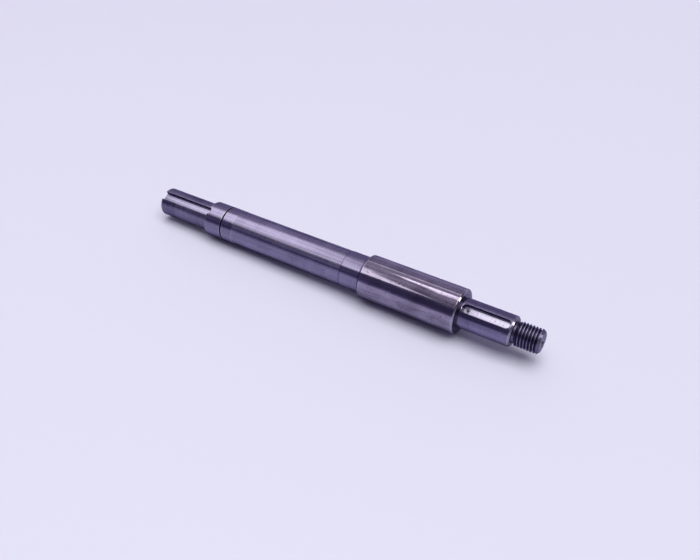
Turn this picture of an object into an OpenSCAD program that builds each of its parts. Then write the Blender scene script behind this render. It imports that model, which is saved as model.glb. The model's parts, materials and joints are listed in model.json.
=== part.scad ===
// Stepped drive shaft, turned from one bar. From the rear end to the front end it has a keyed journal for
// a coupling, a shoulder, a retaining-ring groove, two ground bearing seats with a relieved middle between
// them, a thick seal collar, a keyed journal for an impeller and a threaded end for the impeller's nut.
// It lies along X with its threaded end towards +X, and the origin is on its axis, midway along it.

/* [Coupling journal] */
// Diameter of the coupling journal
coupling_d = 20; // [17:0.5:22]
// Length of the coupling journal, from the end face to the shoulder
coupling_len = 43.3; // [30:0.1:70]
// Chamfer round the coupling end
coupling_chamfer = 1; // [0.4:0.1:2]
// Fillet in the corner under the shoulder
coupling_fillet = 0.6; // [0.2:0.1:1]

/* [Shoulder and ring groove] */
// Length of the shoulder, up to the ring groove
shoulder_len = 13.5; // [6:0.1:30]
// How far the shoulder lies below the bearing seats, on the radius, so that a bearing passes over it
shoulder_relief = 0.05; // [0.05:0.05:0.4]
// Chamfer round the shoulder's rear edge
shoulder_chamfer = 0.5; // [0.2:0.1:1]
// Width of the retaining-ring groove
ring_groove_w = 1.3; // [0.9:0.1:2.5]
// Depth of the retaining-ring groove below the rear seat
ring_groove_depth = 0.55; // [0.4:0.05:1.2]

/* [Bearing seats] */
// Diameter of both bearing seats
seat_d = 25; // [24:0.5:28]
// Length of the rear seat, beside the ring groove
rear_seat_len = 9.1; // [6:0.1:20]
// Length of the turned middle between the seats
middle_len = 88.8; // [40:0.2:160]
// How far the turned middle lies below the seats, on the radius
middle_relief = 0.2; // [0.05:0.05:0.5]
// Length of the front seat, against the collar
front_seat_len = 15.5; // [10:0.1:30]

/* [Collar] */
// Diameter of the seal collar
collar_d = 30; // [30:0.5:40]
// Length of the seal collar
collar_len = 68.1; // [30:0.1:120]
// Chamfer round the collar's rear edge
collar_rear_chamfer = 0.5; // [0.2:0.1:0.8]
// Chamfer round the collar's front edge
collar_front_chamfer = 0.7; // [0.2:0.1:2]
// Width of the grinding reliefs in the corners beside the collar
relief_w = 1.1; // [0.6:0.1:2]
// Depth of the grinding reliefs
relief_depth = 0.35; // [0.1:0.05:0.6]

/* [Impeller journal] */
// Diameter of the impeller journal
impeller_d = 20; // [18:0.5:26]
// Length of the impeller journal
impeller_len = 35.1; // [34.5:0.1:60]
// Chamfer round the journal's front edge
impeller_chamfer = 1; // [0.4:0.1:1.5]

/* [Threaded end] */
// Outside diameter of the thread
thread_d = 16; // [15:0.5:17]
// Length of the threaded end, from the neck to the end face
thread_len = 15.2; // [10:0.2:30]
// Chamfer round the threaded end
thread_chamfer = 1.5; // [0.5:0.1:2]
// Diameter of the neck where the thread runs out
neck_d = 13.5; // [11:0.1:14]
// Length of the neck, with its slope up to the thread
neck_len = 2.6; // [2.5:0.1:6]
// Fillet in the corner between the neck and the impeller journal
neck_fillet = 0.6; // [0.2:0.1:1]

/* [Keyways] */
// Width of both keyways
key_w = 6; // [4:0.5:8]
// Depth of the keyways below the journals
key_depth = 3.7; // [2:0.1:4]
// Length of the coupling keyway, from the end face to its round end
coupling_key_len = 45.6; // [20:0.2:50]
// Length of the impeller keyway over its round ends
impeller_key_len = 31.9; // [14:0.1:32]
// Gap from the collar to the impeller keyway
impeller_key_gap = 1.6; // [1.5:0.1:2.2]
// Diameter of the drill point at the rear end of the impeller keyway
plunge_d = 4; // [2:0.1:4]
// Angle of both keyways about the axis, from straight up towards the front
key_turn = 30; // [0:1:90]

/* [Centre holes] */
// Diameter of the centre holes at the end faces
centre_d = 6; // [4:0.1:8]
// Diameter of the pilot holes behind them
centre_pilot_d = 3; // [1.5:0.1:3.5]
// Length of the pilot holes
centre_pilot_len = 3; // [1:0.1:6]

/* [Hidden] */

steel_grey = [0.52, 0.51, 0.56];
round_facets = 96;
fillet_facets = 32;
// Full angles of the centre holes' cones and of a drill's point
centre_angle = 60;
drill_angle = 118;
// How far a cutter reaches past the surface that it cuts
over = 1;

// Radii
coupling_r = coupling_d / 2;
seat_r = seat_d / 2;
shoulder_r = seat_r - shoulder_relief;
groove_r = seat_r - ring_groove_depth;
middle_r = seat_r - middle_relief;
collar_r = collar_d / 2;
impeller_r = impeller_d / 2;
neck_r = neck_d / 2;
thread_r = thread_d / 2;
pilot_r = centre_pilot_d / 2;
plunge_r = plunge_d / 2;

// Stations along the axis, from the rear end face
shoulder_x = coupling_len;
groove_x = shoulder_x + shoulder_len;
rear_seat_x = groove_x + ring_groove_w;
middle_x = rear_seat_x + rear_seat_len;
front_seat_x = middle_x + middle_len;
collar_x = front_seat_x + front_seat_len;
impeller_x = collar_x + collar_len;
neck_x = impeller_x + impeller_len;
thread_x = neck_x + neck_len;
total_len = thread_x + thread_len;
impeller_key_x = impeller_x + impeller_key_gap;

// Depths of the cones
centre_cone = (centre_d - centre_pilot_d) / 2 / tan(centre_angle / 2);
pilot_end = centre_cone + centre_pilot_len;
pilot_tip = pilot_end + pilot_r / tan(drill_angle / 2);
plunge_depth = plunge_r / tan(drill_angle / 2);

// Half of the turned section: radius across, distance from the rear end face upwards
module turned_section() {
    polygon([
        // rear centre hole and coupling journal
        [0, pilot_tip],
        [pilot_r, pilot_end],
        [pilot_r, centre_cone],
        [centre_d / 2, 0],
        [coupling_r - coupling_chamfer, 0],
        [coupling_r, coupling_chamfer],
        [coupling_r, shoulder_x],
        // shoulder and ring groove
        [shoulder_r - shoulder_chamfer, shoulder_x],
        [shoulder_r, shoulder_x + shoulder_chamfer],
        [shoulder_r, groove_x],
        [groove_r, groove_x],
        [groove_r, rear_seat_x],
        // bearing seats and the middle between them
        [seat_r, rear_seat_x],
        [seat_r, middle_x - middle_relief],
        [middle_r, middle_x],
        [middle_r, front_seat_x],
        [seat_r, front_seat_x + middle_relief],
        [seat_r, collar_x - relief_w],
        [seat_r - relief_depth, collar_x - relief_w + relief_depth],
        [seat_r - relief_depth, collar_x],
        // collar
        [collar_r - collar_rear_chamfer, collar_x],
        [collar_r, collar_x + collar_rear_chamfer],
        [collar_r, impeller_x - collar_front_chamfer],
        [collar_r - collar_front_chamfer, impeller_x],
        // impeller journal
        [impeller_r - relief_depth, impeller_x],
        [impeller_r - relief_depth, impeller_x + relief_w - relief_depth],
        [impeller_r, impeller_x + relief_w],
        [impeller_r, neck_x - impeller_chamfer],
        [impeller_r - impeller_chamfer, neck_x],
        // neck and threaded end
        [neck_r, neck_x],
        [neck_r, thread_x - (thread_r - neck_r)],
        [thread_r, thread_x],
        [thread_r, total_len - thread_chamfer],
        [thread_r - thread_chamfer, total_len],
        // front centre hole
        [centre_d / 2, total_len],
        [pilot_r, total_len - centre_cone],
        [pilot_r, total_len - pilot_end],
        [0, total_len - pilot_tip],
    ]);
    translate([coupling_r, shoulder_x]) mirror([0, 1]) corner_fillet(coupling_fillet);
    translate([neck_r, neck_x]) corner_fillet(neck_fillet);
}

// Fills a square inside corner with a concave round
module corner_fillet(r) {
    difference() {
        square(r);
        translate([r, r]) circle(r, $fn = fillet_facets);
    }
}

// The slot that an end mill leaves between two stations, cut out from floor_r to past top_r
module keyway_cut(from, to, floor_r, top_r) {
    translate([0, 0, floor_r]) linear_extrude(top_r + over - floor_r) {
        translate([from + key_w / 2, -key_w / 2]) square([to - from - key_w, key_w]);
        for (end = [from + key_w / 2, to - key_w / 2])
            translate([end, 0]) circle(d = key_w, $fn = round_facets);
    }
}

// The cone that a drill leaves in the floor of the impeller keyway where the cutter went in
module plunge_cut() {
    reach = 1 + over / plunge_depth;
    translate([impeller_key_x + key_w / 2, 0, impeller_r - key_depth - plunge_depth])
        cylinder(h = plunge_depth * reach, r1 = 0, r2 = plunge_r * reach, $fn = round_facets);
}

module shaft() {
    color(steel_grey) translate([-total_len / 2, 0, 0]) difference() {
        rotate([0, 90, 0]) rotate_extrude($fn = round_facets) turned_section();
        rotate([key_turn, 0, 0]) {
            keyway_cut(-key_w, coupling_key_len, coupling_r - key_depth, shoulder_r);
            keyway_cut(impeller_key_x, impeller_key_x + impeller_key_len, impeller_r - key_depth, impeller_r);
            plunge_cut();
        }
    }
}

shaft();
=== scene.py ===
# %% [markdown]
# # A stepped drive shaft
# The real shaft starts as one steel bar. A lathe turns its steps, a grinder finishes the seats, an end mill
# cuts two keyways and a threading tool cuts the end for a nut. The CAD solid already has that form, so this
# lesson loads it as a fixed frame and builds one finer surface in its place. The finer surface has broken
# edges, a real screw thread and the marks that each tool left in the steel.

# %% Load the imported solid
import json
import math

import bmesh
import bpy
import numpy as np
from mathutils import Matrix, Vector


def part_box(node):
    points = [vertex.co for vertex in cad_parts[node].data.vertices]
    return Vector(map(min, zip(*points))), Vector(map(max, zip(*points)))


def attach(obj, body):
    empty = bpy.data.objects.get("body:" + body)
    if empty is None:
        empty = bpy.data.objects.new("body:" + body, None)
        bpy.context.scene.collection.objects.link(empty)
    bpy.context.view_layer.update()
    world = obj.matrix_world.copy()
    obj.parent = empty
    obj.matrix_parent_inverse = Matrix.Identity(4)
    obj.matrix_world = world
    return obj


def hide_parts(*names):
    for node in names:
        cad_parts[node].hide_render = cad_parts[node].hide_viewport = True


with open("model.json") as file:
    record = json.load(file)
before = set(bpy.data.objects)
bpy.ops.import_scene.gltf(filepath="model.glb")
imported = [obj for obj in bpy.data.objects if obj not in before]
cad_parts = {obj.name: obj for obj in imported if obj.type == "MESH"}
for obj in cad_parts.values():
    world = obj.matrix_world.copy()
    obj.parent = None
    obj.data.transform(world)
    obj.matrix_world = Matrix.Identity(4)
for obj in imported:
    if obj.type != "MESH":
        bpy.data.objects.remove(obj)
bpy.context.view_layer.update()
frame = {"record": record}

# %% [markdown]
# ## Sizes
# A part that must agree with its CAD solid takes what it can from it: the overall length comes from the
# node's box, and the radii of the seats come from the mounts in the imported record. The lengths of the steps
# are the drawing's own. Everything is in millimetres here, measured from the rear end face, and becomes
# metres in one place, when the mesh is made.

# %% Radii from the frame, steps along the axis
MM = 0.001
low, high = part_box("shaft")
total_len = round((high.x - low.x) / MM, 3)
mounts = {mount["name"]: mount["dims"] for mount in frame["record"]["mounts"]}
coupling_r = mounts["coupling_seat"]["r_mm"]
seat_r = mounts["rear_bearing_seat"]["r_mm"]
collar_r = mounts["seal_collar"]["r_mm"]
impeller_r = mounts["impeller_seat"]["r_mm"]
thread_r = mounts["impeller_thread"]["r_mm"]
shoulder_relief = 0.05
ring_groove_depth = 0.55
middle_relief = 0.2
shoulder_r = seat_r - shoulder_relief
groove_r = seat_r - ring_groove_depth
middle_r = seat_r - middle_relief
neck_r = 6.75

coupling_len = 43.3
shoulder_len = 13.5
ring_groove_w = 1.3
rear_seat_len = 9.1
middle_len = 88.8
front_seat_len = 15.5
collar_len = 68.1
impeller_len = 35.1
neck_len = 2.6
shoulder_x = coupling_len
groove_x = shoulder_x + shoulder_len
rear_seat_x = groove_x + ring_groove_w
middle_x = rear_seat_x + rear_seat_len
front_seat_x = middle_x + middle_len
collar_x = front_seat_x + front_seat_len
impeller_x = collar_x + collar_len
neck_x = impeller_x + impeller_len
thread_x = neck_x + neck_len
print(f"{total_len} mm long, steps at {shoulder_x}, {collar_x}, {impeller_x} and {thread_x:.1f} mm")

# %% [markdown]
# ## The turned profile
# A lathe part is half of its section, carried round the axis. The section is a list of corners, each with
# how far it is eased: an outer edge is broken by a file, an inner corner keeps the tool's nose radius.
# Blender's Bevel modifier could ease the edges after the fact, but a bevel on a dense mesh is slow and
# uneven, so the corners are eased in the profile itself, where each one is only a few points.

# %% Corners of the section
edge_break = 0.16
nose = 0.1
groove_nose = 0.05
relief_w = 1.1
relief_depth = 0.35
hole_r = 3.0
pilot_r = 1.5
pilot_len = 3.0
centre_half_angle = math.radians(30)
drill_half_angle = math.radians(59)
cone_depth = (hole_r - pilot_r) / math.tan(centre_half_angle)
pilot_end = cone_depth + pilot_len
pilot_tip = pilot_end + pilot_r / math.tan(drill_half_angle)
coupling_chamfer = 1.0
coupling_fillet = 0.6
shoulder_chamfer = 0.5
collar_rear_chamfer = 0.5
collar_front_chamfer = 0.7
impeller_chamfer = 1.0
neck_fillet = 0.6
past_fillet = 0.2
strip_start = neck_x + neck_fillet + past_fillet

rear_corners = np.array([
    (pilot_tip, 0, 0),
    (pilot_end, pilot_r, 0),
    (cone_depth, pilot_r, nose),
    (0, hole_r, nose),
    (0, coupling_r - coupling_chamfer, edge_break),
    (coupling_chamfer, coupling_r, edge_break),
    (shoulder_x, coupling_r, coupling_fillet),
    (shoulder_x, shoulder_r - shoulder_chamfer, nose),
    (shoulder_x + shoulder_chamfer, shoulder_r, edge_break),
    (groove_x, shoulder_r, nose),
    (groove_x, groove_r, groove_nose),
    (rear_seat_x, groove_r, groove_nose),
    (rear_seat_x, seat_r, nose),
    (middle_x - middle_relief, seat_r, nose),
    (middle_x, middle_r, nose),
    (front_seat_x, middle_r, nose),
    (front_seat_x + middle_relief, seat_r, nose),
    (collar_x - relief_w, seat_r, nose),
    (collar_x - relief_w + relief_depth, seat_r - relief_depth, nose),
    (collar_x, seat_r - relief_depth, nose),
    (collar_x, collar_r - collar_rear_chamfer, nose),
    (collar_x + collar_rear_chamfer, collar_r, edge_break),
    (impeller_x - collar_front_chamfer, collar_r, edge_break),
    (impeller_x, collar_r - collar_front_chamfer, edge_break),
    (impeller_x, impeller_r - relief_depth, nose),
    (impeller_x + relief_w - relief_depth, impeller_r - relief_depth, nose),
    (impeller_x + relief_w, impeller_r, nose),
    (neck_x - impeller_chamfer, impeller_r, edge_break),
    (neck_x, impeller_r - impeller_chamfer, edge_break),
    (neck_x, neck_r, neck_fillet),
    (strip_start, neck_r, 0),
])
print(len(rear_corners), "corners from the rear centre hole to the neck")


# %% Easing the corners
def eased(corners, steps=3, most=0.45, same_point=1e-5):
    """A profile with its corners eased, and the places of its outer edges.

    Each corner c gives way to a parabola from c - a*t to c + b*t. There a and b are the unit directions of
    the two sides that meet in it, and t is its easing times the tangent of half the turn, but no more than
    the share most of a side: (1 - s)^2 (c - a*t) + 2 s (1 - s) c + s^2 (c + b*t), for s from 0 to 1.
    """
    place = corners[:, :2]
    side = np.diff(place, axis=0)
    length = np.linalg.norm(side, axis=1)
    unit = side / length[:, None]
    cross = unit[:-1, 0] * unit[1:, 1] - unit[:-1, 1] * unit[1:, 0]
    turn = np.arctan2(np.abs(cross), np.sum(unit[:-1] * unit[1:], axis=1))
    cut = corners[1:-1, 2] * np.tan(turn / 2)
    cut = np.minimum(cut, most * np.minimum(length[:-1], length[1:]))[:, None]
    corner = place[1:-1][:, None]
    start = (place[1:-1] - unit[:-1] * cut)[:, None]
    end = (place[1:-1] + unit[1:] * cut)[:, None]
    s = np.linspace(0, 1, steps + 1)[None, :, None]
    arcs = (1 - s) ** 2 * start + 2 * s * (1 - s) * corner + s**2 * end
    points = np.concatenate([place[:1], arcs.reshape(-1, 2), place[-1:]])
    apart = np.linalg.norm(np.diff(points, axis=0), axis=1) > same_point
    return points[np.append(True, apart)], place[1:-1][cross < 0]


profile, outer_edges = eased(rear_corners)
print(len(profile), "points on the eased profile,", len(outer_edges), "outer edges")

# %% [markdown]
# ## The keyways
# An end mill leaves a slot with round ends. Carrying the profile round the axis gives a grid of stations
# along the shaft and columns round it. A Boolean could cut the slots out of that grid, but it leaves
# slivers, so the grid itself makes room: at each station the columns start at one lip of the slot and end
# at the other. The slot's own surface is a second grid, in rows from the lip down the wall and in to the
# middle of the floor.

# %% Sizes of the keyways
key_half = 3.0
key_depth = 3.7
key_floor = coupling_r - key_depth
key_turn = math.radians(30)
key_root = 0.25
lip = 0.15
lip_stop = 1.0
lip_runout = 3.0
coupling_key_end = 45.6
coupling_centres = (0.0, coupling_key_end - key_half)
impeller_key_gap = 1.6
impeller_key_len = 31.9
impeller_key_start = impeller_x + impeller_key_gap
impeller_key_end = impeller_key_start + impeller_key_len
impeller_centres = (impeller_key_start + key_half, impeller_key_end - key_half)
plunge_r = 2.0
plunge_depth = plunge_r / math.tan(drill_half_angle)
print(f"keyway floors {key_floor} mm from the axis, drill point {plunge_depth:.2f} mm deep")


# %% The outline of a slot
closed_below = 0.01


def coupling_lip(x):
    """How far the coupling keyway's lip is broken: all of lip, run out before the round end."""
    return lip * np.clip((coupling_centres[1] - lip_stop - x) / lip_runout, 0, 1)


def impeller_lip(x):
    """How far the impeller keyway's lip is broken: the same all round."""
    return np.full_like(x, lip)


def half_width(x, centres, broken):
    """Half the slot's width at x: straight between the centres of its round ends, a circle past them."""
    past = x - np.clip(x, *centres)
    half = np.sqrt(np.maximum((key_half + broken) ** 2 - past**2, 0))
    return np.where(half < closed_below, 0, half)


# %% Rows of a slot, from its lip to the middle of its floor
wall_steps = np.linspace(0, 1, 6)[:, None]
root_turn = np.linspace(0, np.pi / 2, 4)[1:, None]
plain_floor = np.array([0.45, 0.7, 1.0, 1.4, 2.0, key_half])[:, None]
drilled_floor = np.concatenate([np.linspace(key_root, key_half - plunge_r, 5)[1:],
                                np.linspace(key_half - plunge_r, key_half, 13)[1:]])[:, None]


def slot_side(x, top, centres, broken, floor_steps, drill_depth=0.0):
    """One half of a slot as a grid of (along, across, up).

    Each row is the slot's outline set in by some distance: less than nothing at the broken lip, nothing
    down the wall, a quarter circle at the root, then in steps to the middle line. Round the centre of the
    first round end a drill point lowers the floor by drill_depth * (1 - distance / plunge_r).
    """
    ones = np.ones_like(x)
    foot = key_floor + key_root
    wall_top = top - broken
    set_in = np.concatenate([-broken[None], 0 * wall_steps * ones,
                             key_root * (1 - np.cos(root_turn)) * ones, floor_steps * ones])
    up = np.concatenate([top[None], wall_top + (foot - wall_top) * wall_steps,
                         (foot - key_root * np.sin(root_turn)) * ones, key_floor + 0 * floor_steps * ones])
    middle = np.clip(x, *centres)
    sine = np.clip((x - middle) / (key_half + broken), -1, 1)
    along = middle + (key_half - set_in) * sine
    across = (key_half - set_in) * np.sqrt(1 - sine**2)
    cone = 1 - np.hypot(along - centres[0], across) / plunge_r
    return np.stack([along, across, up - drill_depth * np.clip(cone, 0, 1)], axis=-1)


# %% [markdown]
# ## Stations along the profile
# The profile is measured by the distance along itself, because its faces stand straight up and share one
# place on the axis. Long sides get two stations close to each end, as a modeller adds support loops:
# without them, smooth shading and worn edges would spread over the whole length of a seat. The rear face
# gets rings where the open keyway's section meets it, so that the two grids share their points there.

# %% Stations
support = 0.25
wear_end = 0.9
long_spacing = 2.0
short_spacing = 1.5
past_drill = 1.0
same_run = 1e-3
run = np.append(0, np.cumsum(np.linalg.norm(np.diff(profile, axis=0), axis=1)))
rim = int(np.flatnonzero((profile[:, 0] == 0) & (profile[:, 1] > 2 * hole_r))[0])
rim_r = profile[rim, 1]
side_len = np.diff(run)
side_len[rim - 1] = 0
supports = np.concatenate([end for inset in (support, wear_end) for end in (
    run[:-1][side_len > 3 * inset] + inset, run[1:][side_len > 3 * inset] - inset)])

start = np.zeros(1)
rim_top = np.sqrt(rim_r**2 - (key_half + coupling_lip(start)) ** 2)
section = slot_side(start, rim_top, coupling_centres, coupling_lip(start), plain_floor)[::-1, 0]
ring_r = np.hypot(section[:, 1], section[:, 2])
ring_gap = np.arctan2(section[:, 1], section[:, 2])
rings = run[rim] - rim_r + ring_r[:-1]

bend = np.sin(np.linspace(0, np.pi / 2, 13))
along_keys = np.concatenate([
    np.arange(long_spacing, coupling_centres[1], long_spacing),
    coupling_centres[1] + key_half * bend,
    impeller_centres[0] - (key_half + lip) * bend,
    impeller_centres[0] + np.linspace(0, plunge_r, 15)[1:],
    np.arange(impeller_centres[0] + plunge_r + past_drill, impeller_centres[1], short_spacing),
    impeller_centres[1] + (key_half + lip) * bend,
])
key_runs = np.interp(along_keys, profile[rim:, 0], run[rim:])

station = np.sort(np.concatenate([run, supports, rings, key_runs]))
station = station[np.append(True, np.diff(station) > same_run)]
station_x = np.interp(station, run, profile[:, 0])
station_r = np.interp(station, run, profile[:, 1])
print(len(station), "stations")

# %% [markdown]
# ## The skin
# At a station, the columns run from one lip of the keyway all the way round to the other. Where there is no
# keyway, the gap closes and the first and last column meet in a seam, which is welded later.

# %% Gap at each station
in_coupling = (station > run[rim]) & (station_x < coupling_key_end)
in_impeller = (station_x > impeller_key_start - lip) & (station_x < impeller_key_end + lip)
on_rear_face = (station <= run[rim]) & (station_x == 0)
opening = np.select(
    [in_coupling, in_impeller],
    [half_width(station_x, coupling_centres, coupling_lip(station_x)),
     half_width(station_x, impeller_centres, impeller_lip(station_x))], 0.0)
gap = np.arcsin(np.divide(opening, station_r, out=np.zeros_like(opening), where=station_r > 0))
gap[on_rear_face] = np.interp(station_r[on_rear_face], ring_r, ring_gap, left=0.0)
columns = 144
column_share = np.linspace(0, 1, columns + 1)


def skin(x, r, gap):
    """The turned surface as a grid of (along, across, up): angle = gap + share * (full turn - 2 * gap)."""
    angle = gap[:, None] + column_share * (2 * np.pi - 2 * gap[:, None])
    along = x[:, None] + 0 * angle
    return np.stack([along, r[:, None] * np.sin(angle), r[:, None] * np.cos(angle)], axis=-1)


body_grid = skin(station_x, station_r, gap)
print("skin grid", body_grid.shape[:2])

# %% [markdown]
# ## Which finish goes where
# Each zone was worked in its own way, so each gets its own material slot; the ring groove and the relief at
# the collar get a near-black slot of painted shade. The zone of a strip of the skin is known from its place
# on the axis and from whether it is a face or a wall. Two attributes go with the points. Wear says how near
# an outer edge is, because edges that were handled are brighter than the rest, and at the middle's rear step
# it is a painted highlight. Painted shade darkens the corner at the collar's foot and the line at the front
# seat.

# %% Zones of the skin
FINISHES = ["coupling_journal", "ground_seat", "turned_middle", "polished_collar", "impeller_journal",
            "coupling_keyway", "impeller_keyway", "drill_point", "keyway_wall", "cut_thread", "faced_end",
            "painted_shade_recess"]
slot_of = {name: i for i, name in enumerate(FINISHES)}
mid_x = (station_x[1:] + station_x[:-1]) / 2
steep = 1.5
is_face = np.abs(np.diff(station_r)) > steep * np.abs(np.diff(station_x))
near_recess = 0.02
skin_finish = np.select(
    [station[1:] <= run[rim],
     np.abs(mid_x - (groove_x + rear_seat_x) / 2) < (rear_seat_x - groove_x) / 2 + near_recess,
     is_face,
     mid_x < shoulder_x,
     mid_x < middle_x - middle_relief / 2,
     mid_x < front_seat_x + middle_relief / 2,
     mid_x < collar_x - relief_w,
     mid_x < collar_x,
     mid_x < impeller_x,
     mid_x < neck_x],
    [slot_of[name] for name in ("faced_end", "painted_shade_recess", "faced_end", "coupling_journal",
                                "ground_seat", "turned_middle", "ground_seat", "painted_shade_recess",
                                "polished_collar", "impeller_journal")],
    slot_of["cut_thread"])

# Edges at the front seat and the relief stay dark, those at the middle's start and the collar are half worn;
# at the middle's start this wear is a painted highlight
edge_reach = 0.35
beside = 1.0
at_relief = 0.1
edge_x, edge_r = outer_edges.T
kept_dark = (np.abs(edge_x - front_seat_x) < beside) | (np.abs(edge_x - collar_x + relief_w) < at_relief)
half_wear_and_highlight = (np.abs(edge_x - collar_x) < beside) | (np.abs(edge_x - middle_x) < beside)
edge_strength = np.where(kept_dark, 0.0, np.where(half_wear_and_highlight, 0.5, 1.0))
edge_run = np.hypot(station_x[:, None] - edge_x, station_r[:, None] - edge_r)
skin_wear_and_highlight = (edge_strength * np.exp(-((edge_run / edge_reach) ** 2))).max(axis=1)

# Painted shade: the corner at the collar's foot and a line at the front seat are painted dark
foot_reach = 0.55
foot_run = np.hypot(station_x - collar_x + relief_w, station_r - seat_r)
line_reach = 0.3
line_share = 0.85
line_shade = line_share * np.exp(-(((station_x - front_seat_x) / line_reach) ** 2))
skin_shade = np.maximum(np.exp(-((foot_run / foot_reach) ** 2)), line_shade)
print({name: int(np.sum(skin_finish == i)) for name, i in slot_of.items()})

# %% [markdown]
# ## Slot surfaces
# The impeller keyway is closed at both ends. The coupling keyway runs out through the rear end face, and
# its round end bites a little into the shoulder. The wall there has a step: below the corner it is one grid
# with the rest, and above it a small second grid climbs the shoulder's face.

# %% Both keyways
patches = []
# Painted shade on the keyway walls and the floor beside them, and at the bottom of the drill point
wall_shade_reach = 1.1
wall_shade = 0.5
tip_shade_start = 0.62
tip_fade = 0.15
drill_skim = 0.02


def keep(grid, finish, wear_and_highlight, painted_shade=0.0):
    """Keeps a grid of points with the material slot of its quads and the wear, painted highlight and painted
    shade of its points.
    """
    shape = grid.shape[:2]
    quad_finish = np.broadcast_to(finish, (shape[0] - 1, shape[1] - 1))
    patches.append((grid, quad_finish, np.broadcast_to(wear_and_highlight, shape), np.broadcast_to(painted_shade, shape)))


def keep_slot(side, floor_name, floor_steps):
    """Keeps one half of a slot and its mirror image across the middle line, with finish, painted highlight
    and painted shade.

    The strips are a lip, a wall and the floor, and what lies below the floor is the drill point. Only the
    lip on the front side gets a painted highlight. Painted shade is a set share on the wall and fades over
    the floor with exp(-(distance from the wall / its reach)^2). The drill point gets painted shade from a set
    share of its depth downwards.
    """
    rows = np.arange(side.shape[0])
    is_wall = (rows[:-1] > 0) & (rows[:-1] <= len(wall_steps))
    below_floor = np.maximum(key_floor - side[..., 2], 0)
    in_drill = below_floor[1:, 1:] + below_floor[:-1, :-1] > drill_skim
    finish = np.where(is_wall[:, None], slot_of["keyway_wall"], slot_of[floor_name])
    finish = np.where(in_drill, slot_of["drill_point"], finish)
    # Painted highlight on the front lip only
    front_lip_highlight = np.where(rows < 2, 1.0, 0.0)[:, None]
    floor_shade = np.exp(-((floor_steps / wall_shade_reach) ** 2))
    wall_rows = len(rows) - len(floor_shade)
    painted_shade = np.concatenate([np.full((wall_rows, 1), wall_shade), floor_shade]) * np.ones_like(side[..., 0])
    painted_shade = np.maximum(painted_shade, np.clip((below_floor / plunge_depth - tip_shade_start) / tip_fade, 0, 1))
    keep(side, finish, 0.0, painted_shade)
    keep(side * (1, -1, 1), finish, front_lip_highlight, painted_shade * (1 - front_lip_highlight))


keep(body_grid, skin_finish[:, None], skin_wear_and_highlight[:, None], skin_shade[:, None])

slack = 1e-6
same_x = 1e-9
from_start = station_x >= impeller_key_start - lip - slack
inside = np.flatnonzero(from_start & (station_x <= impeller_key_end + lip + slack))
x, r = station_x[inside], station_r[inside]
top = np.sqrt(r**2 - half_width(x, impeller_centres, impeller_lip(x)) ** 2)
side = slot_side(x, top, impeller_centres, impeller_lip(x), drilled_floor, plunge_depth)
keep_slot(side, "impeller_keyway", drilled_floor)

inside = np.flatnonzero((station >= run[rim]) & (station_x <= coupling_key_end + slack))
x, r = station_x[inside], station_r[inside]
top = np.sqrt(r**2 - half_width(x, coupling_centres, coupling_lip(x)) ** 2)
climb = np.flatnonzero(np.abs(x - shoulder_x) < same_x)
corner_top = top[climb[0]]
lower = np.concatenate([np.arange(climb[0] + 1), np.arange(climb[-1] + 1, len(x))])
lower_top = np.where(x[lower] <= shoulder_x, top[lower], corner_top)
side = slot_side(x[lower], lower_top, coupling_centres, coupling_lip(x[lower]), plain_floor)
keep_slot(side, "coupling_keyway", plain_floor)

# The small grid above the corner: its first column is the shoulder's face, its rows climb from the corner
upper = np.arange(climb[-1], len(x))
rise = np.linspace(0, 1, len(climb))[:, None]
up = corner_top + (top[upper] - corner_top) * rise
up[:, 0] = top[climb]
across = half_width(x[upper], coupling_centres, coupling_lip(x[upper]))
bite = np.stack([x[upper] + 0 * up, across + 0 * up, up], axis=-1)
# The wall above the corner takes full painted shade
keep(bite, slot_of["keyway_wall"], 0.0, 1.0)
keep(bite * (1, -1, 1), slot_of["keyway_wall"], 0.0, 1.0)
print(len(patches), "patches so far")

# %% [markdown]
# ## The thread
# A screw thread is one groove wound round the axis. Its surface is a strip one pitch wide, carried along a
# helix, and each turn of the strip shares its edge with the next. The strip starts and ends past the
# threaded end and is clipped back to it, so its last points fall onto plain rings and weld to the neck and
# the end face. The bar was chamfered before it was threaded, and the groove fades out just before the end
# face.

# %% The thread as a strip on a helix
pitch = 2.0
depth_per_pitch = 0.6134
flank_angle = math.radians(30)
thread_root_r = thread_r - depth_per_pitch * pitch
crest_half = pitch / 10
crest_reach = 0.12
root_shade = 0.55
thread_chamfer = 1.5
runout = 0.7
end_ring = 0.2
strip_end = total_len - end_ring
thread_start = 0.35
from_crest = np.array([1, 0.96, 0.908, 0.85, 0.5, 0.26, 0.2, 0.0]) * pitch / 2
across_strip = np.concatenate([pitch / 2 - from_crest, pitch / 2 + from_crest[-2::-1]])


def thread_radius(s):
    """Radius across one pitch: a flat crest in the middle, flanks at flank_angle, a flat root."""
    off_crest = np.abs(s - pitch / 2)
    return np.clip(thread_r - (off_crest - crest_half) / math.tan(flank_angle), thread_root_r, thread_r)


def blank_radius(x):
    """Radius of the bar before threading: the neck, its slope, the thread's outside and the end chamfer."""
    return np.interp(x, [thread_x - (thread_r - neck_r), thread_x, total_len - thread_chamfer, total_len],
                     [neck_r, thread_r, thread_r, thread_r - thread_chamfer])


turns = math.ceil((strip_end - strip_start) / pitch) + 2
step = np.arange(turns * columns + 1)
along = strip_start - 2 * pitch + thread_start + pitch * step / columns + across_strip[:, None]
along = np.clip(along, strip_start, strip_end)
angle = -2 * np.pi * step / columns
fade = np.clip((total_len - runout - along) / runout, 0, 1)
groove = fade * (thread_r - thread_radius(across_strip)[:, None])
radius = np.minimum(blank_radius(along), thread_r - groove)
strip = np.stack([along, radius * np.sin(angle), radius * np.cos(angle)], axis=-1)
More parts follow.
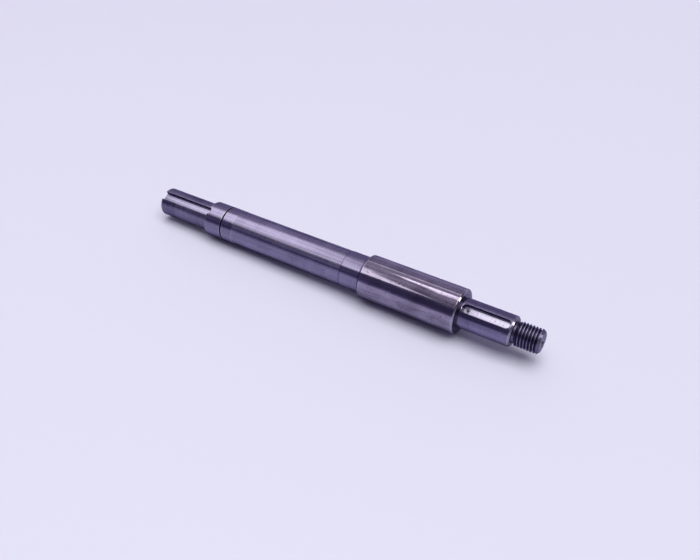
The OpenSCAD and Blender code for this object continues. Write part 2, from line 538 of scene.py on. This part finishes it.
# The crests are worn brighter, and the roots get painted shade
crest_wear = np.exp(-(((thread_r - radius) / crest_reach) ** 2))
below_blank = blank_radius(along) - radius
keep(strip, slot_of["cut_thread"], crest_wear, root_shade * below_blank / (thread_r - thread_root_r))
print(f"{turns} turns of {pitch} mm, root radius {thread_root_r:.2f} mm")

# %% The front end face and its centre hole
front_corners = np.array([
    (strip_end, blank_radius(strip_end), 0),
    (total_len, thread_r - thread_chamfer, nose),
    (total_len, hole_r, nose),
    (total_len - cone_depth, pilot_r, nose),
    (total_len - pilot_end, pilot_r, 0),
    (total_len - pilot_tip, 0, 0),
])
chamfer_strips = 4
front, _ = eased(front_corners)
on_chamfer = np.arange(len(front) - 1) < chamfer_strips
front_finish = np.where(on_chamfer, slot_of["cut_thread"], slot_of["faced_end"])
keep(skin(front[:, 0], front[:, 1], np.zeros(len(front))), front_finish[:, None], 0.0)
print(len(front), "stations on the front end")

# %% [markdown]
# ## Welding the patches into one piece
# All patches go into one mesh, with their points in the shaft's own frame: turned about the axis so that
# the keyways face up and forwards, and centred on the middle of the length. Points that two patches share
# are merged, which closes the seams, and only then are the normals made to point outwards.

# %% One welded mesh
weld_gap = 1e-6
sharp_angle = math.radians(38)


def in_frame(grid):
    """Along, across and up in millimetres, turned by key_turn about the axis and centred, in metres."""
    along, across, up = np.moveaxis(grid, -1, 0)
    y = across * math.cos(key_turn) - up * math.sin(key_turn)
    z = across * math.sin(key_turn) + up * math.cos(key_turn)
    return np.stack([along - total_len / 2, y, z], axis=-1).reshape(-1, 3) * MM


def quads_of(shape, first):
    """Corner numbers of the quads of a grid whose points start at number first."""
    index = first + np.arange(shape[0] * shape[1]).reshape(shape)
    corners = [index[:-1, :-1], index[1:, :-1], index[1:, 1:], index[:-1, 1:]]
    return np.stack(corners, axis=-1).reshape(-1, 4)


grids, strip_finish, wear_and_highlight, painted_shade = zip(*patches)
firsts = np.cumsum([0] + [grid.shape[0] * grid.shape[1] for grid in grids])
points = np.concatenate([in_frame(grid) for grid in grids])
quads = np.concatenate([quads_of(grid.shape[:2], first) for grid, first in zip(grids, firsts)])
mesh = bpy.data.meshes.new("turned_shaft")
mesh.from_pydata(points, [], quads)
material_index = np.concatenate([finish.ravel() for finish in strip_finish])
mesh.polygons.foreach_set("material_index", material_index.astype(np.int32))
for name, values in (("edge_wear_and_highlight", wear_and_highlight), ("painted_shade", painted_shade)):
    attribute = mesh.attributes.new(name, "FLOAT", "POINT")
    flat = np.concatenate([value.ravel() for value in values])
    attribute.data.foreach_set("value", flat.astype(np.float32))

bm = bmesh.new()
bm.from_mesh(mesh)
bmesh.ops.remove_doubles(bm, verts=bm.verts, dist=weld_gap)
bmesh.ops.dissolve_degenerate(bm, edges=bm.edges, dist=weld_gap / 2)
bmesh.ops.recalc_face_normals(bm, faces=bm.faces)
open_edges = sum(not edge.is_manifold for edge in bm.edges)
volume = bm.calc_volume()
bm.to_mesh(mesh)
bm.free()
mesh.shade_smooth()
mesh.set_sharp_from_angle(angle=sharp_angle)

shaft = bpy.data.objects.new("turned_shaft", mesh)
bpy.context.scene.collection.objects.link(shaft)
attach(shaft, "root")
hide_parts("shaft")
mesh.calc_loop_triangles()
print(f"{len(mesh.loop_triangles)} triangles, {open_edges} open edges, {volume / MM**3:.0f} cubic mm")

# %% [markdown]
# ## Shader tools
# Steel has no pattern of its own. What the eye reads is how each tool left it, so every finish below is
# built from the same few patterns: noise that is dense along the axis gives the rings of a lathe or a
# grinder, noise that is dense across it gives scuffs from fitting and pulling parts, and even noise gives
# stains and grain. An image texture would need to be unwrapped and painted, and noise on the object's own
# coordinates stays sharp at any distance.

# %% Adding nodes and noise
def node(tree, kind, sockets=None, **settings):
    """A new node: its settings are set, and each of its sockets takes a plain value or a link."""
    made = tree.nodes.new(kind)
    for key, value in settings.items():
        setattr(made, key, value)
    for key, value in (sockets or {}).items():
        if isinstance(value, bpy.types.NodeSocket):
            tree.links.new(value, made.inputs[key])
        else:
            made.inputs[key].default_value = value
    return made


def ramp(tree, value, start, end, low=0.0, high=1.0):
    """From low, where the value is start, to high, where it is end, and level past both."""
    return node(tree, "ShaderNodeMapRange", {"Value": value, "From Min": start, "From Max": end,
                                             "To Min": low, "To Max": high}).outputs[0]


def blend(tree, share, first, second):
    """From the first colour to the second as share goes from 0 to 1."""
    return node(tree, "ShaderNodeMix", {0: share, 6: first, 7: second}, data_type="RGBA").outputs[2]


def noise(tree, vector, per_metre, detail):
    """Noise with its own number of features per metre along each axis."""
    spread = node(tree, "ShaderNodeMapping", {"Vector": vector, "Scale": per_metre}).outputs[0]
    return node(tree, "ShaderNodeTexNoise", {"Vector": spread, "Scale": 1, "Detail": detail}).outputs[0]


def mixed(tree, vector, parts):
    """0.5 plus the sum of weight * (noise - 0.5) over all parts, kept between 0 and 1."""
    total = 0.5 - 0.5 * sum(weight for weight, _, _ in parts)
    for weight, per_metre, detail in parts:
        pattern = noise(tree, vector, per_metre, detail)
        added = node(tree, "ShaderNodeMath", {0: pattern, 1: weight, 2: total}, operation="MULTIPLY_ADD")
        total = added.outputs[0]
    return node(tree, "ShaderNodeClamp", {0: total}).outputs[0]


def along_shaft(tree):
    """The object's own coordinates: x runs along the shaft."""
    return node(tree, "ShaderNodeTexCoord").outputs["Object"]


def by_radius(tree):
    """Coordinates whose x is the distance from the axis, for faces cut by a tool that moved inwards."""
    parts = node(tree, "ShaderNodeSeparateXYZ", {0: along_shaft(tree)})
    flat = node(tree, "ShaderNodeCombineXYZ", {1: parts.outputs[1], 2: parts.outputs[2]})
    length = node(tree, "ShaderNodeVectorMath", {0: flat.outputs[0]}, operation="LENGTH")
    return node(tree, "ShaderNodeCombineXYZ", {0: length.outputs["Value"], 1: parts.outputs[1]}).outputs[0]


def by_cutter(tree):
    """Coordinates whose x is x - sqrt(reach^2 - across^2), which is constant along each sweep of the mill.

    The reach is a little more than the cutter's radius, so that the root is of a positive number.
    """
    turned = node(tree, "ShaderNodeVectorRotate", {"Vector": along_shaft(tree), "Angle": -key_turn},
                  rotation_type="X_AXIS")
    parts = node(tree, "ShaderNodeSeparateXYZ", {0: turned.outputs[0]})
    across = parts.outputs[1]
    margin = 1.05
    reach = margin * key_half * MM
    square = node(tree, "ShaderNodeMath", {0: across, 1: across}, operation="MULTIPLY")
    left = node(tree, "ShaderNodeMath", {0: reach**2, 1: square.outputs[0]}, operation="SUBTRACT")
    sweep = node(tree, "ShaderNodeMath", {0: left.outputs[0]}, operation="SQRT")
    phase = node(tree, "ShaderNodeMath", {0: parts.outputs[0], 1: sweep.outputs[0]}, operation="SUBTRACT")
    swept = node(tree, "ShaderNodeCombineXYZ", {0: phase.outputs[0], 1: across, 2: parts.outputs[2]})
    return swept.outputs[0]


# %% [markdown]
# ## One steel, many finishes
# Every finish is one function with its own numbers. Tone patterns shift the colour between a dark and a
# light steel and the roughness with it, relief patterns feed a bump, and the two attributes colour painted
# shade and worn edges, which are partly painted highlights. Spots are small dark pits, cut out of noise with
# a narrow ramp. Clean metal turns white at a glancing angle. This steel has a thin film of oil, so the tint
# that the shader uses near that angle is dark.

# %% The steel builder
FILM_TINT = (0.4, 0.38, 0.48, 1)
PIT_COLOUR = (0.03, 0.025, 0.035, 1)
PIT_EDGE = (0.66, 0.74)
# The colour of the painted shade in corners, walls, grooves and hollows
PAINTED_SHADE_COLOUR = (0.068, 0.058, 0.14, 1)


def steel(name, dark, light, rough, tone, relief, depth, place=along_shaft, wear_and_highlight_colour=None, spots=0.0):
    """Steel that goes from dark to light and from rough[0] to rough[1] with the tone patterns.

    The relief patterns are a bump, depth millimetres high. Points with full painted shade take the painted
    shade's colour, and then points with full wear take the worn colour, partly a painted highlight. Spots is
    how much of the pits' colour shows: 0 to 1.
    """
    material = bpy.data.materials.new(name)
    material.use_nodes = True
    tree = material.node_tree
    shader = tree.nodes["Principled BSDF"]
    vector = place(tree)
    shade = mixed(tree, vector, tone)
    colour = blend(tree, shade, (*dark, 1), (*light, 1))
    if spots:
        pits = ramp(tree, noise(tree, vector, PITS, 1.0), *PIT_EDGE, high=spots)
        colour = blend(tree, pits, colour, PIT_COLOUR)
    painted_shade = node(tree, "ShaderNodeAttribute", attribute_name="painted_shade").outputs["Fac"]
    colour = blend(tree, painted_shade, colour, PAINTED_SHADE_COLOUR)
    if wear_and_highlight_colour:
        wear_and_highlight = node(tree, "ShaderNodeAttribute", attribute_name="edge_wear_and_highlight").outputs["Fac"]
        colour = blend(tree, wear_and_highlight, colour, (*wear_and_highlight_colour, 1))
    tree.links.new(colour, shader.inputs["Base Color"])
    tree.links.new(ramp(tree, shade, 0.0, 1.0, *rough), shader.inputs["Roughness"])
    height = mixed(tree, vector, relief)
    bump = node(tree, "ShaderNodeBump", {"Height": height, "Strength": 1.0, "Distance": depth * MM})
    tree.links.new(bump.outputs[0], shader.inputs["Normal"])
    shader.inputs["Metallic"].default_value = 1.0
    shader.inputs["Specular Tint"].default_value = FILM_TINT
    return material


# %% Patterns, in features per metre along x, y and z
RINGS = (900, 30, 30)
FINE_RINGS = (2600, 60, 60)
SCUFFS = (14, 900, 900)
LONG_SCUFFS = (6, 650, 650)
STAINS = (55, 70, 70)
CLOUDS = (22, 40, 40)
PITS = (700, 700, 700)
GRAIN = (3500, 3500, 3500)
SCRATCHES = (120, 2400, 700)

# %% [markdown]
# ## The turned and ground stretches
# The middle was only turned, so its rings are coarse. The seats were ground for bearings and are finer. The
# two journals were pushed into hubs again and again, and the collar ran in a seal: it is the smoothest, and
# oil and water left stains on it.

# %% Finishes of the stretches
# Worn edges, brighter than the rest; on the middle's rear step this is a painted highlight
wear_and_highlight_steel = (0.36, 0.34, 0.42)
finishes = {}
finishes["coupling_journal"] = steel(
    "coupling_journal", (0.09, 0.08, 0.142), (0.235, 0.213, 0.34), (0.24, 0.38),
    [(1.4, SCUFFS, 3.0), (0.8, RINGS, 2.0), (1.0, STAINS, 3.0)],
    [(0.6, FINE_RINGS, 2.0), (0.4, GRAIN, 1.0)], 0.0025, wear_and_highlight_colour=wear_and_highlight_steel, spots=0.5)
finishes["ground_seat"] = steel(
    "ground_seat", (0.1, 0.09, 0.148), (0.28, 0.255, 0.41), (0.12, 0.24),
    [(0.6, FINE_RINGS, 2.0), (1.6, LONG_SCUFFS, 4.0), (0.8, CLOUDS, 2.0)],
    [(0.7, FINE_RINGS, 2.0), (0.3, GRAIN, 1.0)], 0.0015, wear_and_highlight_colour=wear_and_highlight_steel)
finishes["turned_middle"] = steel(
    "turned_middle", (0.1, 0.09, 0.148), (0.3, 0.275, 0.437), (0.19, 0.33),
    [(0.25, RINGS, 3.0), (2.2, LONG_SCUFFS, 4.0), (0.9, STAINS, 3.0)],
    [(0.7, RINGS, 3.0), (0.3, GRAIN, 1.0)], 0.0018, wear_and_highlight_colour=wear_and_highlight_steel, spots=0.3)
finishes["polished_collar"] = steel(
    "polished_collar", (0.09, 0.077, 0.12), (0.36, 0.32, 0.455), (0.05, 0.13),
    [(1.4, STAINS, 4.0), (1.2, LONG_SCUFFS, 4.0), (0.6, SCRATCHES, 2.0)],
    [(0.6, SCRATCHES, 2.0), (0.4, GRAIN, 1.0)], 0.0025, wear_and_highlight_colour=wear_and_highlight_steel, spots=0.8)
finishes["impeller_journal"] = steel(
    "impeller_journal", (0.087, 0.078, 0.142), (0.256, 0.23, 0.39), (0.16, 0.28),
    [(1.2, STAINS, 4.0), (1.2, SCUFFS, 3.0), (0.5, RINGS, 2.0)],
    [(0.6, FINE_RINGS, 2.0), (0.4, GRAIN, 1.0)], 0.0015, wear_and_highlight_colour=wear_and_highlight_steel, spots=0.6)
print(len(finishes), "finishes for the stretches")

# %% [markdown]
# ## The cut surfaces
# An end mill turns while it moves along the slot, so its floor carries arcs of the cutter's own radius. The
# longer keyway was finished by a key that slid in and out, which left lines along it. Walls, grooves and
# the roots of the thread are darkened with painted shade.

# %% Finishes of the cut surfaces
# Colour of the painted highlight on the keyways' front lips
lip_highlight = (0.62, 0.6, 0.68)
finishes["coupling_keyway"] = steel(
    "coupling_keyway", (0.16, 0.15, 0.23), (0.42, 0.4, 0.575), (0.18, 0.32),
    [(2.0, LONG_SCUFFS, 4.0), (1.0, STAINS, 3.0)],
    [(0.7, SCUFFS, 3.0), (0.3, GRAIN, 1.0)], 0.004, wear_and_highlight_colour=lip_highlight, spots=0.6)
finishes["impeller_keyway"] = steel(
    "impeller_keyway", (0.25, 0.235, 0.335), (0.62, 0.6, 0.765), (0.16, 0.3),
    [(0.6, RINGS, 2.0), (0.5, STAINS, 2.0)],
    [(0.8, RINGS, 2.0), (0.2, GRAIN, 1.0)], 0.002, place=by_cutter, wear_and_highlight_colour=lip_highlight, spots=0.5)
# Fresh drilled steel, made far brighter than the rest so that its ring reads bright: partly a painted
# highlight
finishes["drill_point"] = steel(
    "drill_point", (0.7, 0.68, 0.82), (0.92, 0.9, 1.0), (0.55, 0.7),
    [(0.8, STAINS, 2.0), (0.6, GRAIN, 1.0)],
    [(0.7, GRAIN, 1.0), (0.3, PITS, 1.0)], 0.003)
# The walls are darker and bluer than the floors: painted shade
finishes["keyway_wall"] = steel(
    "keyway_wall", (0.105, 0.09, 0.27), (0.235, 0.2, 0.58), (0.35, 0.5),
    [(1.2, SCUFFS, 3.0), (1.0, STAINS, 3.0)],
    [(0.7, SCUFFS, 3.0), (0.3, GRAIN, 1.0)], 0.006, wear_and_highlight_colour=lip_highlight)
finishes["cut_thread"] = steel(
    "cut_thread", (0.075, 0.065, 0.12), (0.2, 0.182, 0.3), (0.26, 0.4),
    [(1.2, STAINS, 3.0), (1.0, GRAIN, 1.0)],
    [(0.6, FINE_RINGS, 2.0), (0.4, GRAIN, 1.0)], 0.004, wear_and_highlight_colour=(0.215, 0.197, 0.315))
finishes["faced_end"] = steel(
    "faced_end", (0.16, 0.15, 0.2), (0.46, 0.43, 0.55), (0.2, 0.34),
    [(1.6, RINGS, 2.0), (0.8, CLOUDS, 2.0)],
    [(0.8, RINGS, 2.0), (0.2, GRAIN, 1.0)], 0.004, place=by_radius, wear_and_highlight_colour=wear_and_highlight_steel)
# Near-black painted shade for the ring groove and the relief at the collar
finishes["painted_shade_recess"] = steel(
    "painted_shade_recess", (0.01, 0.009, 0.024), (0.034, 0.03, 0.07), (0.4, 0.6),
    [(0.8, STAINS, 3.0), (0.8, GRAIN, 1.0)],
    [(0.7, FINE_RINGS, 2.0), (0.3, GRAIN, 1.0)], 0.005)
for name in FINISHES:
    mesh.materials.append(finishes[name])
print(len(mesh.materials), "material slots")

# %% [markdown]
# ## A plain stage
# The shaft lies on a pale floor. It rests on its collar and on its shoulder, which are not the same
# thickness, so in the shaft's own frame the floor is a little tilted.

# %% Floor
rest_drop = (collar_r - shoulder_r) / (collar_x + collar_rear_chamfer - shoulder_x - shoulder_chamfer)
contact_x = collar_x + collar_rear_chamfer - total_len / 2


def floor_height(x):
    """Height of the floor at x millimetres from the middle: it touches the collar and the shoulder."""
    return -collar_r - rest_drop * (x - contact_x)


half_floor = 8000.0
corner_x = np.array([-1, 1, 1, -1]) * half_floor
corner_y = np.array([-1, -1, 1, 1]) * half_floor
floor_points = np.stack([corner_x, corner_y, floor_height(corner_x)], axis=-1) * MM
floor_mesh = bpy.data.meshes.new("floor")
floor_mesh.from_pydata(floor_points, [], [(0, 1, 2, 3)])
floor = bpy.data.objects.new("floor", floor_mesh)
bpy.context.scene.collection.objects.link(floor)
floor_paint = bpy.data.materials.new("pale_floor")
floor_paint.use_nodes = True
floor_shader = floor_paint.node_tree.nodes["Principled BSDF"]
floor_shader.inputs["Base Color"].default_value = (0.76, 0.765, 0.885, 1)
floor_shader.inputs["Roughness"].default_value = 0.6
floor_mesh.materials.append(floor_paint)
print(f"floor tilted by {math.degrees(math.atan(rest_drop)):.2f} degrees")

# %% [markdown]
# ## The camera
# The view is the photograph's: its focal length in pixels, its place and its three angles were found by
# fitting the shaft's known diameters to its outline. The rotation matrix is built from three directions,
# because they are easier to check than Euler angles: right and up in the picture, and back towards the
# viewer.

# %% Camera
focal_px = 819.42
frame_px = 700
camera_place = Vector((0.23763, -0.36701, 0.33091))
look_turn, look_down, look_roll = (math.radians(a) for a in (31.660, 38.237, -0.217))
forward = Vector((-math.sin(look_turn) * math.cos(look_down), math.cos(look_turn) * math.cos(look_down),
                  -math.sin(look_down)))
level = Vector((math.cos(look_turn), math.sin(look_turn), 0))
below = forward.cross(level)
image_right = math.cos(look_roll) * level + math.sin(look_roll) * below
image_up = math.sin(look_roll) * level - math.cos(look_roll) * below
lens = bpy.data.cameras.new("camera")
lens.sensor_fit = "HORIZONTAL"
lens.sensor_width = 36
lens.lens = focal_px / frame_px * lens.sensor_width
camera = bpy.data.objects.new("camera", lens)
turn = Matrix((image_right, image_up, -forward)).transposed().to_4x4()
camera.matrix_world = Matrix.Translation(camera_place) @ turn
bpy.context.scene.collection.objects.link(camera)
bpy.context.scene.camera = camera
bpy.context.scene.view_settings.view_transform = "Standard"
print(f"lens {lens.lens:.1f} mm, {camera_place.length:.3f} m from the middle of the shaft")

# %% [markdown]
# ## Light
# A shiny cylinder shows its lamps as bands. Its surface only turns about its axis, so a lamp's place across
# the shaft sets the height of its band and its place along the shaft sets where the band begins and ends.
# Panels overhead make the bands, and a lamp past the threaded end glints on the chamfers. They are only
# reflected. A large softbox high above lights the floor and drops the soft shadow, and it isn't reflected
# at all.

# %% Lamps
LAMP_TINT = (1.0, 0.99, 0.88)


def panel(name, place, size, radiance, turn=0.0):
    """A lamp that is only reflected: power = radiance * pi * area. It faces down, turned by turn degrees."""
    light = bpy.data.lights.new(name, "AREA")
    light.shape = "RECTANGLE"
    light.size, light.size_y = size
    light.color = LAMP_TINT
    light.energy = radiance * math.pi * size[0] * size[1]
    lamp = bpy.data.objects.new(name, light)
    lamp.location = place
    lamp.rotation_euler = (0, 0, math.radians(turn))
    lamp.visible_diffuse = False
    bpy.context.scene.collection.objects.link(lamp)
    return lamp


panel("rear_panel", (-0.687, -0.24, 1.0), (0.52, 1.32), 2.2, turn=6)
panel("front_panel", (0.455, -0.05, 1.0), (1.29, 0.8), 1.7)
panel("streak_panel", (-0.1765, 0.1035, 1.0), (0.3, 0.26), 3.7, turn=-70)
panel("line_panel", (-0.32, 0.62, 1.0), (0.34, 0.1), 1.1)
glint = panel("glint", (1.45, 0.53, 0.6), (0.4, 0.4), 8.0)
glint.rotation_euler = (-glint.location).to_track_quat("-Z", "Y").to_euler()

softbox = panel("softbox", (4.8, -0.9, 12.0), (15.0, 10.2), 3.05)
softbox.data.color = (1, 1, 1)
softbox.visible_diffuse = True
softbox.visible_glossy = False

# %% [markdown]
# The surroundings are a plain room. Low down it is pale, palest behind the shaft. Higher up it is dark in
# front of the shaft and lighter behind it, dimmed towards the threaded end, and overhead it is light again.
# The world shader reads the direction of a ray, so the room needs no walls.

# %% Surroundings
world = bpy.data.worlds.new("surround")
bpy.context.scene.world = world
world.use_nodes = True
tree = world.node_tree
direction = node(tree, "ShaderNodeSeparateXYZ", {0: node(tree, "ShaderNodeTexCoord").outputs["Generated"]})
to_thread, to_back, to_top = direction.outputs
behind = ramp(tree, to_back, -0.5, 0.2)
overhead = ramp(tree, to_top, 0.6, 0.86)
height = ramp(tree, to_top, 0.0, 0.35)
front_height = ramp(tree, to_top, 0.0, 0.2)
front_side = blend(tree, front_height, (0.36, 0.33, 0.48, 1), (0.11, 0.095, 0.185, 1))
back_side = blend(tree, height, (0.95, 0.91, 1.0, 1), (0.5, 0.46, 0.6, 1))
sides = blend(tree, behind, front_side, back_side)
room = blend(tree, overhead, sides, (0.66, 0.6, 0.68, 1))
dimmed = ramp(tree, to_thread, -0.1, 0.3, low=1.0, high=0.25)
strength = node(tree, "ShaderNodeMix", {0: height, 2: 1.0, 3: dimmed})
tree.links.new(room, tree.nodes["Background"].inputs["Color"])
tree.links.new(strength.outputs[0], tree.nodes["Background"].inputs["Strength"])
print("lamps:", [lamp.name for lamp in bpy.data.lights])
